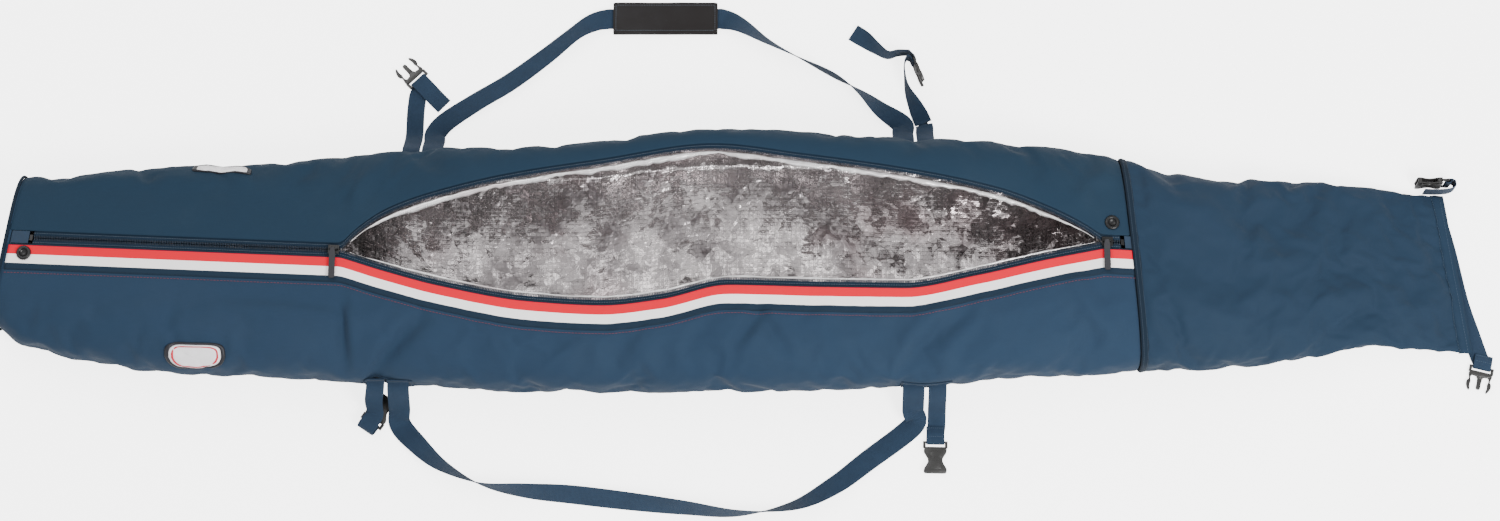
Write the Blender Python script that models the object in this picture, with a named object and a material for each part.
"""Padded ski bag with a roll-up extension, lying on its base with the main zip run open.

Metres, +Z up. X runs along the bag towards the roll-up end, +Y is the rear side that the zip flap
opens against, and the origin is on the floor under the middle of the base panel.
Every section across the bag is worked out by skin(), and most sewn pieces are lofted through it.
"""

import math

import bmesh
import bpy
import numpy as np
from mathutils import Matrix, Vector

# Bag outline: (distance along the bag, value), read through a smooth curve
LEFT_END = -1.020  # plane of the closed end
REAR_EDGE = [(-1.02, 0.103), (-0.70, 0.119), (-0.48, 0.134), (-0.25, 0.138), (-0.05, 0.156), (0.10, 0.153),
             (0.24, 0.147), (0.40, 0.143), (0.527, 0.128), (0.60, 0.110), (0.78, 0.101), (0.985, 0.091)]
FRONT_EDGE = [(-1.02, -0.108), (-0.98, -0.134), (-0.82, -0.167), (-0.48, -0.185), (-0.30, -0.194),
              (0.0, -0.196), (0.23, -0.187), (0.40, -0.177), (0.527, -0.167), (0.70, -0.154),
              (0.86, -0.132), (0.985, -0.136)]
SIDE_HEIGHT = [(-1.02, 0.042), (-0.60, 0.048), (0.40, 0.048), (0.60, 0.040), (0.80, 0.026), (0.985, 0.0080)]
RIDGE_HEIGHT = [(-1.02, 0.098), (-0.560, 0.112), (0.482, 0.108), (0.60, 0.101), (0.70, 0.084), (0.80, 0.058),
                (0.90, 0.033), (0.985, 0.0135)]
# What the lower face rises by to clear the end piping and the hem webbing.
BOTTOM_LIFT = [(-1.0216, 0.0030), (-0.985, 0.0), (0.86, 0.0), (0.945, 0.0026)]
SLANT = [(-1.02, 0.15), (-0.80, 0.03), (-0.55, 0.0), (0.35, 0.0), (0.527, -0.08), (0.985, -0.127)]
CORNER = 0.030  # how far the bottom corner lies in from the side
TOP_ROUND, CORNER_ROUND = 3.0, 2.4  # superellipse powers of the top and of the bottom corner

# Zip: both rows meet in the closed stretches and part between the two sliders
ZIP_LEFT, SPLIT_LEFT, SPLIT_RIGHT, ZIP_RIGHT = -0.986, -0.560, 0.482, 0.508
CLOSED_Y = [(-1.02, 0.0065), (-0.560, -0.0165), (0.482, -0.003), (0.527, -0.005)]
OPEN_REAR_Y = [(-0.560, -0.0165), (-0.540, 0.004), (-0.50, 0.031), (-0.44, 0.053), (-0.33, 0.078),
               (-0.20, 0.096), (-0.05, 0.115), (0.07, 0.102), (0.21, 0.084), (0.34, 0.060), (0.41, 0.036),
               (0.46, 0.012), (0.482, -0.003)]
OPEN_FRONT_Y = [(-0.560, -0.0165), (-0.50, -0.036), (-0.42, -0.058), (-0.30, -0.080), (-0.20, -0.086),
                (-0.12, -0.077), (-0.03, -0.057), (0.10, -0.060), (0.21, -0.061), (0.31, -0.042),
                (0.41, -0.018), (0.482, -0.003)]
REAR_LIP_HEIGHT = [(-0.560, 0.112), (-0.45, 0.122), (-0.25, 0.138), (-0.05, 0.150), (0.20, 0.140),
                   (0.40, 0.118), (0.482, 0.108)]
FRONT_LIP_HEIGHT = [(-0.560, 0.112), (-0.40, 0.114), (-0.20, 0.118), (0.10, 0.118), (0.35, 0.112),
                    (0.482, 0.108)]
LIP_GAP = 0.009  # zip line to the edge of the shell
TRIM = 0.006  # how far the foam and the lining stop short of the shell's edge
TAPE_DROP = 0.0032  # the zip's plane under the shell's surface

# Layers of the padded wall, as depths under the outer surface
SHELL = (0.0, 0.0016)
FOAM = (0.0020, 0.0070)
LINING = (0.0074, 0.0082)
CLEAR = 0.0004  # gap between sewn neighbours

STATIONS = [-1.0216, -0.985, -0.92, -0.80, -0.68, -0.575, -0.555, -0.52, -0.46, -0.37, -0.27, -0.16, -0.05,
            0.07, 0.19, 0.30, 0.38, 0.44, 0.484, 0.5225]
EXTENSION_STATIONS = [0.5335, 0.58, 0.64, 0.72, 0.796]
ROLL_STATIONS = [0.804, 0.86, 0.90, 0.945, 0.985]
FOLD_LINE, FOLD_RISE = 0.800, 0.003  # where the end rolls up, and its axis above the top there

WEBBING, STRAP_WIDTH, HANDLE_WIDTH = 0.0015, 0.025, 0.030
ANCHOR_HEIGHT, ANCHOR_GAP = 0.050, 0.0036  # where webbing leaves the side, and how far off it
REAR, FRONT = 1, -1
SPLIT_CENTRE = Vector((0, -0.01, 0.045))

COLOURS = {
    "shell": (0.030, 0.065, 0.125), "foam": (0.75, 0.75, 0.72), "foil": (0.60, 0.58, 0.58),
    "webbing": (0.028, 0.055, 0.120), "ribbon": (0.75, 0.02, 0.06), "zip": (0.020, 0.035, 0.065),
    "black_metal": (0.03, 0.03, 0.03), "black_plastic": (0.02, 0.02, 0.02), "grip": (0.020, 0.018, 0.018),
    "patch": (0.85, 0.85, 0.85), "rubber": (0.02, 0.02, 0.022),
}
METALLIC = {"black_metal": 0.9, "foil": 0.7}


# ---------------------------------------------------------------- curves and sections
def curve(keys, x):
    """The value at x of a smooth curve through the keys that never overshoots them."""
    if x <= keys[0][0]:
        return keys[0][1]
    if x >= keys[-1][0]:
        return keys[-1][1]
    xs, ys = zip(*keys)
    steps = [(ys[i + 1] - ys[i]) / (xs[i + 1] - xs[i]) for i in range(len(keys) - 1)]

    def slope(i):
        if i in (0, len(keys) - 1) or steps[i - 1] * steps[i] <= 0:
            return 0.0 if 0 < i < len(keys) - 1 else steps[min(i, len(steps) - 1)]
        return 2 * steps[i - 1] * steps[i] / (steps[i - 1] + steps[i])

    i = max(k for k in range(len(keys) - 1) if xs[k] <= x)
    span = xs[i + 1] - xs[i]
    t = (x - xs[i]) / span
    return (ys[i] * (1 + 2 * t) * (1 - t) ** 2 + span * slope(i) * t * (1 - t) ** 2
            + ys[i + 1] * t * t * (3 - 2 * t) + span * slope(i + 1) * t * t * (t - 1))


def straight(keys, x):
    """The value at x of straight runs between the keys."""
    return float(np.interp(x, *zip(*keys)))


def is_open(x):
    return SPLIT_LEFT < x < SPLIT_RIGHT


def zip_line(x, hand):
    """(y, z) of the bag's surface at the zip, on the rear (hand 1) or front (hand -1) row."""
    if not is_open(x):
        height = straight if x < 0 else curve
        return straight(CLOSED_Y, x), height(RIDGE_HEIGHT, x)
    if hand == REAR:
        return curve(OPEN_REAR_Y, x), curve(REAR_LIP_HEIGHT, x)
    return curve(OPEN_FRONT_Y, x), curve(FRONT_LIP_HEIGHT, x)


def quarter(start, end, power, count):
    """Points of a quarter superellipse that leaves start upright and reaches end level."""
    points = []
    for k in range(count + 1):
        angle = k * math.pi / 2 / count
        across, up = math.cos(angle) ** (2 / power), math.sin(angle) ** (2 / power)
        points.append((end[0] + (start[0] - end[0]) * across, start[1] + (end[1] - start[1]) * up))
    return points


def skin(x, hand, rise=6, turn=3):
    """One half of the outer section: bottom corner, round the side, up and over to the zip lip, as (y, z)."""
    edge = curve(REAR_EDGE if hand == REAR else FRONT_EDGE, x)
    floor = straight(BOTTOM_LIFT, x)
    height = straight(SIDE_HEIGHT, x)
    side = (edge, floor + height)
    corner = (edge - hand * min(CORNER, 1.2 * height), floor)
    y, z = zip_line(x, hand)
    low = quarter(side, corner, CORNER_ROUND, turn)
    high = quarter(side, (y + hand * LIP_GAP, z), TOP_ROUND, rise)
    return [(corner[0] - hand * 0.0015, floor), *low[::-1], *high[1:]]


def trimmed(line):
    """The line with its last stretch cut short by TRIM."""
    (y0, z0), (y1, z1) = line[-2:]
    share = 1 - TRIM / math.hypot(y1 - y0, z1 - z0)
    return [*line[:-1], (y0 + (y1 - y0) * share, z0 + (z1 - z0) * share)]


def inset_line(points, depth):
    """The line moved inwards by depth, with mitred corners. Inwards is to the right of its direction."""
    pts = np.array(points, float)
    run = np.diff(pts, axis=0)
    run /= np.linalg.norm(run, axis=1)[:, None]
    normal = np.stack([run[:, 1], -run[:, 0]], axis=1)
    first, last = np.vstack([normal[:1], normal]), np.vstack([normal, normal[-1:]])
    mitre = first + last
    mitre /= (mitre * first).sum(1)[:, None] + 1e-9
    return [tuple(p) for p in pts + mitre * depth]


def layer(points, depths, hand):
    """A closed ring between two depths under a line."""
    outer, inner = (inset_line(points, -hand * d) for d in depths)
    return outer + inner[::-1]


def place(x, ring):
    """A section's (y, z) ring as 3-D points, on the slanting plane of that station."""
    lean = curve(SLANT, x)
    return [(x + lean * y, y, z) for y, z in ring]


# ---------------------------------------------------------------- solids
def material(name):
    found = bpy.data.materials.get(name)
    if found:
        return found
    made = bpy.data.materials.new(name)
    made.use_nodes = True
    shader = made.node_tree.nodes["Principled BSDF"]
    shader.inputs["Base Color"].default_value = (*COLOURS[name], 1)
    shader.inputs["Roughness"].default_value = 0.35 if name in METALLIC else 0.75
    shader.inputs["Metallic"].default_value = METALLIC.get(name, 0.0)
    return made


def add(name, points, faces, finish, place_at=None):
    """A mesh object whose faces are turned to point outwards."""
    mesh = bpy.data.meshes.new(name)
    mesh.from_pydata([tuple(p) for p in points], [], faces)
    work = bmesh.new()
    work.from_mesh(mesh)
    bmesh.ops.recalc_face_normals(work, faces=work.faces)
    if work.calc_volume(signed=True) < 0:
        bmesh.ops.reverse_faces(work, faces=work.faces)
    work.to_mesh(mesh)
    work.free()
    mesh.materials.append(material(finish))
    made = bpy.data.objects.new(name, mesh)
    bpy.context.scene.collection.objects.link(made)
    if place_at is not None:
        made.matrix_world = place_at
    return made


def loft(name, rings, finish):
    """A solid through rings that have equal point counts, closed by flat ends.

    Each side face is split along the diagonal that bulges most, so that nested layers are split alike.
    """
    n = len(rings[0])
    points = [Vector(p) for ring in rings for p in ring]
    faces = [tuple(range(n)), tuple(range(len(points) - n, len(points)))]
    for k in range(len(rings) - 1):
        for i in range(n):
            a, b, c, d = (k * n + i, k * n + (i + 1) % n, (k + 1) * n + (i + 1) % n, (k + 1) * n + i)
            reach = [((points[p] + points[q]) / 2 - SPLIT_CENTRE).yz.length for p, q in ((a, c), (b, d))]
            faces += [(a, b, c), (a, c, d)] if reach[0] > reach[1] else [(a, b, d), (b, c, d)]
    return add(name, points, faces, finish)


def band(name, places, depths, finish):
    """A closed band round the bag between two stations and two depths under the surface."""
    both = zip((*places, *places[::-1]), (depths[0],) * 2 + (depths[1],) * 2)
    rings = [place(x, inset_ring(whole_ring(x), depth)) for x, depth in both]
    n = len(rings[0])
    faces = []
    for k in range(4):
        m = (k + 1) % 4
        faces += [(k * n + i, k * n + (i + 1) % n, m * n + (i + 1) % n, m * n + i) for i in range(n)]
    return add(name, [p for ring in rings for p in ring], faces, finish)


def prism(outline, low, high):
    """(points, faces) of a flat outline carried from height low to high."""
    n = len(outline)
    points = [(x, y, low) for x, y in outline] + [(x, y, high) for x, y in outline]
    faces = [tuple(range(n)), tuple(range(n, 2 * n))]
    faces += [(i, (i + 1) % n, n + (i + 1) % n, n + i) for i in range(n)]
    return points, faces


def block(low, high):
    """(points, faces) of a box between two corners."""
    outline = [(low[0], low[1]), (high[0], low[1]), (high[0], high[1]), (low[0], high[1])]
    return prism(outline, low[2], high[2])


def boolean(target, tool_shape, operation, place_at=None):
    """Joins or cuts the target by a hidden tool solid."""
    tool = add(f"tool_for_{target.name}_{len(target.modifiers)}", *tool_shape, "black_plastic", place_at)
    tool.hide_render = True
    tool.display_type = "WIRE"
    cut = target.modifiers.new(operation.lower(), "BOOLEAN")
    cut.operation = operation
    cut.object = tool


def frame_matrix(origin, along, across):
    """A placement whose local Y is along, local X is nearest across, and local Z is their normal."""
    y = Vector(along).normalized()
    z = Vector(across).cross(y).normalized()
    x = y.cross(z)
    turned = Matrix((x, y, z)).transposed().to_4x4()
    turned.translation = origin
    return turned


# ---------------------------------------------------------------- sewn body
def shell_panels():
    """Base, rear and front panels of the padded compartment: outer fabric, foam and the foil lining."""
    for word, hand in (("rear", REAR), ("front", FRONT)):
        loft(f"{word}_panel", [place(x, layer(skin(x, hand), SHELL, hand)) for x in STATIONS], "shell")
        loft(f"{word}_foam", [place(x, layer(trimmed(skin(x, hand)), FOAM, hand)) for x in STATIONS], "foam")
    for name, depths, finish in (("base_panel", SHELL, "shell"), ("base_foam", FOAM, "foam")):
        loft(name, [place(x, base_ring(x, *depths)) for x in STATIONS], finish)
    loft("foil_lining", [place(x, lining_ring(x)) for x in (-1.0150, *STATIONS[1:])], "foil")


def base_ring(x, low, high):
    """The flat strip of the base between the two bottom corners."""
    rear, front = skin(x, REAR)[0][0] - CLEAR, skin(x, FRONT)[0][0] + CLEAR
    floor = float(straight(BOTTOM_LIFT, x))
    return [(front, floor + low), (rear, floor + low), (rear, floor + high), (front, floor + high)]


def lining_ring(x):
    """A thin trough from the rear lip round the base to the front lip."""
    rear, front = (trimmed(skin(x, hand)) for hand in (REAR, FRONT))
    outer, inner = (inset_line(rear[::-1] + front, depth) for depth in LINING)
    return outer + inner[::-1]


def whole_ring(x):
    """The closed section of the bag where both zip rows meet, counter-clockwise seen from the roll-up end."""
    rear, front = (skin(x, hand) for hand in (REAR, FRONT))
    return [*rear, zip_line(x, REAR), *front[::-1]]


def inset_ring(ring, depth):
    """A closed ring moved inwards by depth."""
    return inset_line([ring[-1], *ring, ring[0]], -depth)[1:-1]


def end_pieces():
    """The padded panel that closes the left end, and the piping round it."""
    wall = LINING[1] + CLEAR
    for name, inset, (x0, x1), finish in (("end_panel", 0.0010, (-1.0236, -1.0220), "shell"),
                                          ("end_foam", wall, (-1.0214, -1.0170), "foam"),
                                          ("end_lining", wall, (-1.0164, -1.0156), "foil")):
        loft(name, [place(x, inset_ring(whole_ring(LEFT_END), inset)) for x in (x0, x1)], finish)
    band("end_piping", (-1.0255, -1.0219), (-0.0026, 0.0004), "webbing")


def zip_end_tabs():
    """Small fabric tabs that close the shell beyond each end of the zip."""
    for name, low, high in (("zip_tab_left", -1.016, -0.9915), ("zip_tab_right", 0.5135, 0.5222)):
        rings = []
        for x in (low, high):
            y, z = straight(CLOSED_Y, x), zip_line(x, REAR)[1]
            half = LIP_GAP - CLEAR
            rings.append(place(x, [(y - half, z), (y + half, z), (y + half, z - 0.0016),
                                   (y - half, z - 0.0016)]))
        loft(name, rings, "shell")


def extension():
    """The unpadded sleeve past the cross seam and the flat end that rolls up: two sheets each."""
    for word, stations in (("extension", EXTENSION_STATIONS), ("roll_end", ROLL_STATIONS)):
        loft(f"{word}_top", [place(x, sleeve_ring(x, upper=True)) for x in stations], "shell")
        loft(f"{word}_base", [place(x, sleeve_ring(x, upper=False)) for x in stations], "shell")
    loft("hem_closure", [place(x, inset_ring(whole_ring(x), SHELL[1] + CLEAR)) for x in (0.9765, 0.9845)],
         "shell")
    band("cross_seam_binding", (0.5232, 0.5328), (0.0, 0.0022), "shell")


def sleeve_ring(x, upper):
    """Half of the sleeve's closed section, parted level with the widest point of each side."""
    outer = whole_ring(x)
    inner = inset_ring(outer, SHELL[1])
    n, part = len(outer), 4
    picked = list(range(part, n - part)) if upper else [*range(n - part - 1, n), *range(part + 1)]
    lift = CLEAR / 2 if upper else -CLEAR / 2
    halves = []
    for ring in (outer, inner):
        half = [ring[i] for i in picked]
        half[0], half[-1] = ((y, z + lift) for y, z in (half[0], half[-1]))
        halves.append(half)
    return halves[0] + halves[1][::-1]


# ---------------------------------------------------------------- trim
def surface_strip(x, hand, start, stop, rise, thick, count=4):
    """A ring that lies on the shell between two distances from the lip, rise above it."""
    line = np.array(skin(x, hand, rise=40)[::-1])
    along = np.concatenate([[0], np.cumsum(np.linalg.norm(np.diff(line, axis=0), axis=1))])
    at = np.linspace(start, stop, count)
    points = [(float(np.interp(s, along, line[:, 0])), float(np.interp(s, along, line[:, 1]))) for s in at]
    return layer(points, (-rise, -rise - thick), -hand)


def trim():
    """The striped ribbon beside the zip, the side label and the patch."""
    loft("striped_ribbon", [place(x, surface_strip(x, FRONT, 0.001, 0.038, 0.0008, 0.001))
                            for x in (-1.0170, *STATIONS[1:])], "ribbon")
    loft("side_label", [place(x, surface_strip(x, REAR, 0.098, 0.114, 0.0016, 0.001))
                        for x in (-0.775, -0.735, -0.69)], "patch")
    loft("round_patch", [place(x, surface_strip(x, FRONT, 0.128, 0.170, 0.0016, 0.001))
                         for x in (-0.795, -0.755, -0.715)], "patch")


def zip_rows():
    """The two rows of coil and the tape each is sewn to."""
    stations = [x for x in STATIONS if ZIP_LEFT < x < ZIP_RIGHT and abs(x + 0.575) > 0.001]
    stations = sorted({ZIP_LEFT, *stations, -0.561, -0.549, -0.536, 0.47, 0.4825, ZIP_RIGHT})
    for word, hand in (("rear", REAR), ("front", FRONT)):
        tape, coil = [], []
        for x in stations:
            y, z = zip_line(x, hand)
            z -= TAPE_DROP
            tape.append(place(x, box_ring(y + hand * 0.0037, y + hand * 0.0130, z - 0.0004, z + 0.0004)))
            coil.append(place(x, box_ring(y + hand * 0.0009, y + hand * 0.0034, z - 0.0016, z + 0.0016)))
        loft(f"zip_tape_{word}", tape, "zip")
        loft(f"zip_coil_{word}", coil, "zip")
    for name, low, high in (("zip_stop_left", -0.9905, -0.9865), ("zip_stop_right", 0.5085, 0.5125)):
        rings = []
        for x in (low, high):
            y, z = straight(CLOSED_Y, x), zip_line(x, REAR)[1] - TAPE_DROP
            rings.append(place(x, box_ring(y - 0.0040, y + 0.0040, z - 0.002, z + 0.002)))
        loft(name, rings, "black_metal")


def box_ring(y0, y1, z0, z1):
    return [(y0, z0), (y1, z0), (y1, z1), (y0, z1)]


# ---------------------------------------------------------------- sliders and pulls
SLIDER_LENGTH, SLIDER_HALF = 0.015, 0.0062
BRIDGE_AXIS = 0.0069  # bridge bar above the zip's plane
TAB_LENGTH, TAB_HALF, TAB_DROP = 0.042, 0.0042, math.radians(1)


def slider_frame(x):
    """The slider's placement on the closed zip at x: local X along the zip."""
    step = 0.004
    a, b = (Vector((s, straight(CLOSED_Y, s), zip_line(s, REAR)[1] - TAPE_DROP))
            for s in (x - step, x + step))
    along = (b - a).normalized()
    side = Vector((0, 0, 1)).cross(along).normalized()
    turned = Matrix((along, side, along.cross(side))).transposed().to_4x4()
    turned.translation = (a + b) / 2
    return turned


def slider(name, x):
    """Upper and lower wings joined by a neck, flanged round the coils, with a bridge for the pull."""
    w, top, lip, neck = SLIDER_HALF, 0.0036, 0.0009, 0.0005
    half = [(w, lip), (w, top), (-w, top), (-w, lip), (-0.0044, lip), (-0.0044, 0.0022), (-neck, 0.0022)]
    ring = half + [(-neck, -0.0022), (-0.0044, -0.0022), (-0.0044, -lip), (-w, -lip), (-w, -top), (w, -top),
                   (w, -lip), (0.0044, -lip), (0.0044, -0.0022), (neck, -0.0022), (neck, 0.0022),
                   (0.0044, 0.0022), (0.0044, lip)]
    end = SLIDER_LENGTH / 2
    points = [(s, y, z) for s in (-end, end) for y, z in ring]
    n = len(ring)
    faces = [tuple(range(n)), tuple(range(n, 2 * n))]
    faces += [(i, (i + 1) % n, n + (i + 1) % n, n + i) for i in range(n)]
    at = slider_frame(x)
    made = add(name, points, faces, "black_metal", at)
    arch = [(-0.0060, 0.0030), (-0.0060, 0.0064), (-0.0048, 0.0077), (0.0048, 0.0077), (0.0060, 0.0064),
            (0.0060, 0.0030), (0.0044, 0.0030), (0.0040, 0.0061), (-0.0040, 0.0061), (-0.0044, 0.0030)]
    bridge = [(s, y, z) for y in (-0.0008, 0.0008) for s, z in arch]
    m = len(arch)
    sides = [tuple(range(m)), tuple(range(m, 2 * m))]
    sides += [(i, (i + 1) % m, m + (i + 1) % m, m + i) for i in range(m)]
    boolean(made, (bridge, sides), "UNION", at)
    return at


def pull(name, at):
    """A tab with a tube that turns on the bridge bar, lying across the front of the bag."""
    turned = at @ Matrix.Translation((0, 0, BRIDGE_AXIS)) @ Matrix.Rotation(TAB_DROP, 4, "X")
    start, stop, thick = -0.0016, -TAB_LENGTH, 0.0011
    tab = [(-0.0030, start), (-0.0030, -0.0070), (-TAB_HALF, -0.0100), (-TAB_HALF, stop + 0.002),
           (-TAB_HALF + 0.002, stop), (TAB_HALF - 0.002, stop), (TAB_HALF, stop + 0.002), (TAB_HALF, -0.0100),
           (0.0030, -0.0070), (0.0030, start)]
    made = add(name, *prism(tab, -thick, thick), "rubber", turned)
    boolean(made, rod(0.0024, 0.0030), "UNION", turned)
    boolean(made, rod(0.0014, 0.0050), "DIFFERENCE", turned)
    return made


def rod(radius, half_length, steps=12):
    """(points, faces) of a rod along local X."""
    turns = [2 * math.pi * k / steps for k in range(steps)]
    points = [(x, radius * math.cos(a), radius * math.sin(a))
              for x in (-half_length, half_length) for a in turns]
    faces = [tuple(range(steps)), tuple(range(steps, 2 * steps))]
    faces += [(i, (i + 1) % steps, steps + (i + 1) % steps, steps + i) for i in range(steps)]
    return points, faces


# ---------------------------------------------------------------- eyelets
def eyelet(word, x, hand, distance, targets):
    """A flanged metal eyelet through the wall, its washer inside, and the hole that it needs."""
    line = np.array(skin(x, hand, rise=40)[::-1])
    along = np.concatenate([[0], np.cumsum(np.linalg.norm(np.diff(line, axis=0), axis=1))])
    y, z = (float(np.interp(distance, along, line[:, k])) for k in (0, 1))
    y2, z2 = (float(np.interp(distance + 0.01, along, line[:, k])) for k in (0, 1))
    out = Vector((0, z - z2, y2 - y)).normalized() * (1 if (y2 - y) * hand > 0 else -1)
    out = out if out.z > 0 else -out
    at = Vector((0, 0, 1)).rotation_difference(out).to_matrix().to_4x4()
    at.translation = Vector(place(x, [(y, z)])[0])
    rise = 0.0022 if hand == FRONT else 0.0010
    turned_ring(f"eyelet_{word}", at, [(0.0052, -0.0086), (0.0060, -0.0086), (0.0060, rise), (0.0100, rise),
                                       (0.0094, rise + 0.0016), (0.0066, rise + 0.0020),
                                       (0.0052, rise + 0.0008)])
    turned_ring(f"eyelet_washer_{word}", at,
                [(0.0064, -0.0108), (0.0100, -0.0108), (0.0100, -0.0100), (0.0064, -0.0100)])
    hole = []
    for height in (-0.02, 0.02):
        hole.append([(0.0078 * math.cos(a), 0.0078 * math.sin(a), height)
                     for a in np.linspace(0, 2 * math.pi, 17)[:16]])
    sides = [(i, (i + 1) % 16, 16 + (i + 1) % 16, 16 + i) for i in range(16)]
    sides += [tuple(range(16)), tuple(range(16, 32))]
    for target in targets:
        boolean(bpy.data.objects[target], (hole[0] + hole[1], sides), "DIFFERENCE", at)


def turned_ring(name, at, profile, steps=16):
    """A profile of (radius, height) turned about local Z."""
    n = len(profile)
    points = [(r * math.cos(a), r * math.sin(a), h) for a in np.linspace(0, 2 * math.pi, steps + 1)[:steps]
              for r, h in profile]
    faces = []
    for k in range(steps):
        m = (k + 1) % steps
        faces += [(k * n + i, k * n + (i + 1) % n, m * n + (i + 1) % n, m * n + i) for i in range(n)]
    return add(name, points, faces, "black_metal", at)


# ---------------------------------------------------------------- webbing
def flow(keys, per_span):
    """A smooth curve through rows of numbers, per_span steps to each span."""
    rows = np.array(keys, float)
    rows = np.vstack([2 * rows[0] - rows[1], rows, 2 * rows[-1] - rows[-2]])
    out = []
    for i in range(1, len(rows) - 2):
        a, b, c, d = rows[i - 1: i + 3]
        for t in np.arange(per_span) / per_span:
            bend, twist = 2 * a - 5 * b + 4 * c - d, 3 * b - a - 3 * c + d
            out.append(0.5 * (2 * b + (c - a) * t + bend * t**2 + twist * t**3))
    return np.array([*out, rows[-2]])


def floor_run(keys, width, per_span=2):
    """(centres, width directions) of webbing through (x, y, lift of the lower edge, roll in degrees)."""
    rows = flow(keys, per_span)
    heading = np.gradient(rows[:, :2], axis=0)
    heading /= np.linalg.norm(heading, axis=1)[:, None]
    roll = np.radians(rows[:, 3])
    across = np.stack([heading[:, 1] * np.cos(roll), -heading[:, 0] * np.cos(roll), np.sin(roll)], axis=1)
    stand = rows[:, 2] + width / 2 * np.abs(np.sin(roll)) + WEBBING / 2 * np.abs(np.cos(roll)) + 0.0003
    return np.column_stack([rows[:, :2], stand]), across


def ribbon(name, centres, across, width, finish="webbing"):
    """Flat webbing along a path, one box section at each point."""
    centres, across = np.array(centres), np.array(across)
    tangent = np.gradient(centres, axis=0)
    tangent /= np.linalg.norm(tangent, axis=1)[:, None]
    across = across - (across * tangent).sum(1)[:, None] * tangent
    across /= np.linalg.norm(across, axis=1)[:, None]
    normal = np.cross(tangent, across)
    w, t = across * width / 2, normal * WEBBING / 2
    rings = [[c - a - b, c + a - b, c + a + b, c - a + b] for c, a, b in zip(centres, w, t)]
    return loft(name, rings, finish)


LOOP_RADIUS = 0.00275  # centre of the webbing round a buckle's bar


def bar_loop(centre, along, normal, steps=4):
    """Points of webbing that turns round a bar, from under it to over it."""
    out = []
    for k in range(steps + 1):
        angle = math.radians(-90 + 180 * k / steps)
        around = math.cos(angle) * Vector(along) + math.sin(angle) * Vector(normal)
        out.append(Vector(centre) + LOOP_RADIUS * around)
    return out


def strap(name, run, bar, tail, width=STRAP_WIDTH):
    """Webbing from its anchor to a buckle's bar, round the bar, and back as a sewn ply or a free tail.

    run is (centres, width directions) up to the bar, bar is (centre, the way the buckle points, across
    the webbing, normal), and tail is a run of its own, or the length of a ply that lies back on the strap.
    """
    centre, along, across, normal = (Vector(v) for v in bar)
    points = [*map(Vector, run[0]), centre - along * 0.006 - normal * LOOP_RADIUS,
              *bar_loop(centre, along, normal)]
    wide = [*map(Vector, run[1]), *[across] * 6]
    if isinstance(tail, float):
        drop = LOOP_RADIUS * 2 - WEBBING - 0.0007
        for share in (0.35, 0.7, 1.0):
            fall = LOOP_RADIUS - drop * max(0.0, share * 2 - 1)
            points.append(centre + normal * fall - along * tail * share)
            wide.append(across)
    else:
        points += [centre + normal * LOOP_RADIUS - along * 0.006, *map(Vector, tail[0])]
        wide += [across, *map(Vector, tail[1])]
    wide = [w if w.dot(across) > 0 else -w for w in wide]
    return ribbon(name, points, wide, width)


# ---------------------------------------------------------------- buckles
FEMALE_OUTLINE = [(0.0170, 0.0070), (0.0172, 0.0110), (0.0150, 0.0160), (0.0118, 0.0210), (0.0112, 0.0260),
                  (0.0128, 0.0310), (0.0166, 0.0355), (0.0172, 0.0390), (0.0172, 0.0440)]
MALE_OUTLINE = [(0.0130, 0.0065), (0.0155, 0.0085), (0.0158, 0.0120), (0.0148, 0.0165), (0.0148, 0.0195),
                (0.0168, 0.0215), (0.0172, 0.0265), (0.0155, 0.0315), (0.0126, 0.0350), (0.0112, 0.0335),
                (0.0122, 0.0275), (0.0116, 0.0225), (0.0128, 0.0190), (0.0126, 0.0145), (0.0098, 0.0122),
                (0.0056, 0.0126), (0.0034, 0.0165), (0.0028, 0.0240), (0.0034, 0.0300), (0.0082, 0.0328),
                (0.0086, 0.0345)]
FEMALE_THICK, MALE_THICK, FRAME_THICK = 0.0080, 0.0040, 0.0024


def mirrored(half):
    return half + [(-x, y) for x, y in reversed(half)]


def web_frame():
    """The bar that the webbing turns round and the two rails that hold it, with the slot left open."""
    outer, slot, low, high = 0.0168, 0.0132, -0.0012, 0.0080
    half = FRAME_THICK / 2
    rails = [(-outer, low), (outer, low), (outer, high), (slot, high), (slot, -low), (-slot, -low),
             (-slot, high), (-outer, high)]
    return prism(rails, -half, half)


def female_buckle(name, at):
    made = add(name, *prism(mirrored(FEMALE_OUTLINE), -FEMALE_THICK / 2, FEMALE_THICK / 2), "black_plastic",
               at)
    boolean(made, web_frame(), "UNION", at)
    boolean(made, block((-0.0140, 0.0150, -0.0025), (0.0140, 0.0460, 0.0025)), "DIFFERENCE", at)
    return made


def male_buckle(name, at):
    made = add(name, *prism(mirrored(MALE_OUTLINE), -MALE_THICK / 2, MALE_THICK / 2), "black_plastic", at)
    boolean(made, web_frame(), "UNION", at)
    return made


def side_point(x, hand):
    """(x, y) just outside the shell's side at that station."""
    y = curve(REAR_EDGE if hand == REAR else FRONT_EDGE, x)
    return x + curve(SLANT, x) * y, y


def anchored(x, hand, keys):
    """Floor keys that leave a side patch level and drop to the floor before the given keys."""
    along, y = side_point(x, hand)
    start = y + hand * ANCHOR_GAP
    drop = [(along, start, ANCHOR_HEIGHT, 0.0), (along, start + hand * 0.012, ANCHOR_HEIGHT - 0.006, 0.0),
            (along, start + hand * 0.030, 0.0190, 0.0), (along, start + hand * 0.048, 0.0015, 0.0)]
    return drop + keys


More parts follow.
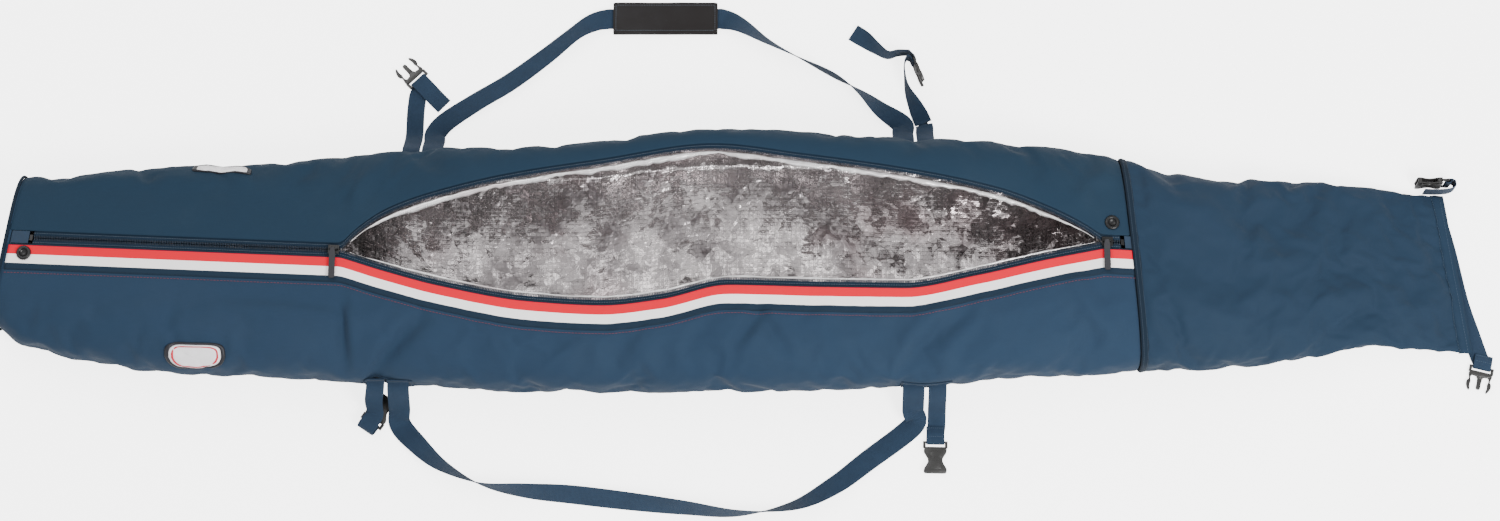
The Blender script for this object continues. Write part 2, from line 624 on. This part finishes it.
def anchor_patch(name, low, high, hand):
    """The sewn patch on the side of the bag that a handle and a strap leave from."""
    rings = []
    for x in np.linspace(low, high, 4):
        y = curve(REAR_EDGE if hand == REAR else FRONT_EDGE, x)
        ring = [(y + hand * 0.0006, 0.038), (y + hand * 0.0020, 0.038), (y + hand * 0.0020, 0.062),
                (y + hand * 0.0006, 0.062)]
        rings.append(place(x, ring))
    loft(name, rings, "webbing")


HANDLE_ENDS = {REAR: (-0.444, 0.215), FRONT: (-0.483, 0.2245)}
STRAP_PLACES = {"rear_left": -0.4740, "rear_right": 0.2460, "front_left": -0.5140, "front_right": 0.2575}
GRIP = (-0.195, -0.046, 0.334, 0.379)  # x from and to, y from and to


def handles():
    """The two carrying handles, each one length of webbing sewn to the side at both ends."""
    rear = anchored(HANDLE_ENDS[REAR][0], REAR, [(-0.428, 0.205, 0, 6), (-0.385, 0.234, 0, 14),
                                                 (-0.340, 0.262, 0, 16), (-0.290, 0.300, 0, 22),
                                                 (-0.250, 0.333, 0.0010, 30), (-0.224, 0.350, 0.0034, 12),
                                                 (-0.204, 0.3562, 0.0040, 0), (-0.185, 0.3565, 0.0040, 0),
                                                 (-0.120, 0.3565, 0.0040, 0), (-0.056, 0.3565, 0.0040, 0),
                                                 (-0.037, 0.3560, 0.0040, 0), (-0.012, 0.344, 0.0036, 30),
                                                 (0.024, 0.320, 0.0010, 58), (0.070, 0.295, 0, 74),
                                                 (0.120, 0.268, 0, 86), (0.155, 0.245, 0, 62),
                                                 (0.185, 0.220, 0, 28)])
    rear += anchored(HANDLE_ENDS[REAR][1], REAR, [])[::-1]
    ribbon("handle_rear", *floor_run(rear, HANDLE_WIDTH), HANDLE_WIDTH)
    front = anchored(HANDLE_ENDS[FRONT][0], FRONT, [
        (-0.462, -0.262, 0, 18), (-0.425, -0.296, 0, 48), (-0.370, -0.323, 0, 84), (-0.310, -0.332, 0, 118),
        (-0.245, -0.337, 0, 136), (-0.170, -0.346, 0, 134), (-0.090, -0.356, 0, 118), (-0.015, -0.364, 0, 94),
        (0.060, -0.353, 0, 54), (0.115, -0.324, 0, 24), (0.162, -0.288, 0, 10)])
    front += anchored(HANDLE_ENDS[FRONT][1], FRONT, [])[::-1]
    ribbon("handle_front", *floor_run(front, HANDLE_WIDTH), HANDLE_WIDTH)


def hand_grip():
    """The padded wrap round the rear handle: a lower leaf, a flap over it, and the fastener between them."""
    x0, x1, y0, y1 = GRIP
    near, far = y0, y1
    lower = [(x0, near), (x1, near), (x1, far), (x0, far)]
    add("grip_lower_leaf", *prism(lower, 0.0003, 0.0036), "grip")
    add("grip_flap", *prism(lower, 0.0066, 0.0100), "grip")
    strip = (0.3355, 0.3405)
    add("grip_loop_strip", *block((x0 + 0.006, strip[0], 0.0039), (x1 - 0.006, strip[1], 0.0050)), "grip")
    add("grip_hook_strip", *block((x0 + 0.006, strip[0], 0.0053), (x1 - 0.006, strip[1], 0.0063)), "grip")


def buckle_places():
    """Each buckle's bar: its centre, the way it points, the way across the webbing, and its normal."""
    def pointing(degrees):
        return Vector((math.cos(math.radians(degrees)), math.sin(math.radians(degrees)), 0))

    def flat(x, y, z, degrees):
        along, up = pointing(degrees), Vector((0, 0, 1))
        return Vector((x, y, z)), along, along.cross(up), up

    def on_edge(x, y, degrees):
        along, across = pointing(degrees), Vector((0, 0, 1))
        return Vector((x, y, 0.0174)), along, across, across.cross(along)

    return {
        "rear_left": flat(-0.4700, 0.2640, 0.0042, 134), "rear_right": on_edge(0.2320, 0.2880, -68),
        "front_left": flat(-0.5235, -0.2350, 0.0046, 56), "front_right": flat(0.2555, -0.2620, 0.0044, -91),
        "roll_rear": on_edge(0.9780, 0.1080, 180), "roll_front": flat(1.0150, -0.1560, 0.0042, -104),
    }


def straps(bars):
    """The four compression straps, each sewn to the bag's side and threaded through a buckle half."""
    def lead(where, hand, keys):
        return floor_run(anchored(STRAP_PLACES[where], hand, keys), STRAP_WIDTH)

    strap("strap_rear_left", lead("rear_left", REAR, [(-0.4735, 0.216, 0, 0), (-0.4715, 0.240, 0.0003, 0)]),
          bars["rear_left"], floor_run([(-0.4565, 0.2500, 0.0056, 0), (-0.4440, 0.2365, 0.0046, 0),
                                        (-0.4330, 0.2260, 0.0020, 0)], STRAP_WIDTH))
    strap("strap_rear_right", lead("rear_right", REAR, [
        (0.2350, 0.222, 0.0010, 42), (0.2225, 0.248, 0.0030, 78), (0.2190, 0.270, 0.0046, 90),
        (0.2190, 0.286, 0.0046, 90),
        (0.2225, 0.2945, 0.0046, 90)]), bars["rear_right"], floor_run([
            (0.2250, 0.3020, 0.0046, 90), (0.2100, 0.3020, 0.0030, 86), (0.1950, 0.3000, 0.0010, 80),
            (0.1780, 0.3120, 0.0, 62), (0.1640, 0.3240, 0.0, 38), (0.1470, 0.3370, 0.0, 12)], STRAP_WIDTH))
    strap("strap_front_right", lead("front_right", FRONT, [(0.2560, -0.2480, 0.0002, 0)]),
          bars["front_right"], 0.022)
    strap("strap_front_left", doubled_back(bars["front_left"]), bars["front_left"], 0.007)


def doubled_back(bar):
    """The run of a strap that passes over its buckle and turns under, so the buckle lies back beneath it."""
    centre, along, across, normal = bar
    x, y = side_point(STRAP_PLACES["front_left"], FRONT)
    points = [Vector(p) for p in ((x, y - ANCHOR_GAP, 0.0510), (x - 0.001, y - 0.014, 0.0460),
                                  (x - 0.004, y - 0.027, 0.0290))]
    wide = [Vector((1, 0, 0)), Vector((1, 0.05, 0)), Vector((1, -0.15, 0))]
    turn = (0.0120 + LOOP_RADIUS) / 2
    points += [centre + along * 0.012 + normal * 0.0130, centre - along * 0.001 + normal * 0.0120]
    for degrees in (60, 20, -20, -60):
        angle = math.radians(degrees)
        points.append(centre - along * (0.006 + turn * math.cos(angle))
                      + normal * ((0.0120 - LOOP_RADIUS) / 2 + turn * math.sin(angle)))
    return points, wide + [across] * 6


def roll_webbing(bars):
    """Webbing along the hem of the roll-up end and a short loop at its rear corner, each with a buckle."""
    lead = [(0.9630, 0.070, 0, 0), (0.9760, 0.015, 0, 0), (0.9900, -0.060, 0, 0), (1.0040, -0.110, 0, 0),
            (1.0125, -0.140, 0.0004, 0)]
    strap("roll_webbing_front", floor_run(lead, STRAP_WIDTH), bars["roll_front"], 0.018)
    loop = [(0.9450, 0.0955, 0.0046, 90), (0.9650, 0.0950, 0.0046, 90), (0.9800, 0.0965, 0.0046, 90),
            (0.9885, 0.1010, 0.0046, 90), (0.9885, 0.1085, 0.0046, 90)]
    strap("roll_webbing_rear", floor_run(loop, STRAP_WIDTH), bars["roll_rear"], 0.006)


def pivot(name, point, nodes):
    """Parents nodes to an empty on their joint's axis, and leaves them where they are."""
    empty = bpy.data.objects.new(f"pivot_{name}", None)
    empty.location = point
    bpy.context.scene.collection.objects.link(empty)
    inverse = Matrix.Translation(point).inverted()
    for node in nodes:
        child = bpy.data.objects[node]
        child.parent = empty
        child.matrix_parent_inverse = inverse


def hinge_point(x, hand):
    """Where webbing leaves the side: the edge of its upper face, on which it bends when it is lifted."""
    along, y = side_point(x, hand)
    return along, y + hand * ANCHOR_GAP, ANCHOR_HEIGHT + 0.0018


def pivots():
    """The joint axes of the pieces that turn."""
    for word, hand in (("front", FRONT), ("rear", REAR)):
        pivot(f"handle_{word}", hinge_point(HANDLE_ENDS[hand][0], hand), [f"handle_{word}"])
    for where, x in STRAP_PLACES.items():
        hand = REAR if where.startswith("rear") else FRONT
        # The doubled-back strap swings sideways about the end of its stitching, clear of the handle over it.
        edge = STRAP_WIDTH / 2 if where == "front_left" else 0.0
        pivot(f"strap_{where}", hinge_point(x - edge, hand), [f"strap_{where}"])
    pivot("grip_flap", (GRIP[0], GRIP[3] + 0.0004, 0.0051), ["grip_flap", "grip_hook_strip"])
    pivot("roll_end", (FOLD_LINE, 0, zip_line(FOLD_LINE, REAR)[1] + FOLD_RISE),
          ["roll_end_top", "roll_end_base", "hem_closure", "roll_webbing_front", "roll_webbing_rear"])


def buckles(bars):
    for where, kind in (("rear_left", male_buckle), ("rear_right", male_buckle),
                        ("front_left", female_buckle), ("front_right", female_buckle),
                        ("roll_rear", female_buckle), ("roll_front", male_buckle)):
        centre, along, across, _ = bars[where]
        word = "male" if kind is male_buckle else "female"
        kind(f"buckle_{word}_{where}", frame_matrix(centre, along, across))


def main():
    for old in list(bpy.data.objects):
        bpy.data.objects.remove(old)
    shell_panels()
    end_pieces()
    zip_end_tabs()
    extension()
    trim()
    zip_rows()
    eyelet("left", -0.994, FRONT, 0.014, ["front_panel", "front_foam", "striped_ribbon", "foil_lining"])
    eyelet("right", 0.499, REAR, 0.018, ["rear_panel", "rear_foam", "foil_lining"])
    for word, x in (("left", -0.570), ("right", 0.490)):
        pull(f"pull_tab_{word}", slider(f"slider_{word}", x))
    for name, low, high, hand in (("anchor_rear_left", -0.497, -0.428, REAR),
                                  ("anchor_rear_right", 0.192, 0.260, REAR),
                                  ("anchor_front_left", -0.531, -0.462, FRONT),
                                  ("anchor_front_right", 0.208, 0.277, FRONT)):
        anchor_patch(name, low, high, hand)
    handles()
    hand_grip()
    bars = buckle_places()
    straps(bars)
    roll_webbing(bars)
    buckles(bars)
    pivots()


main()
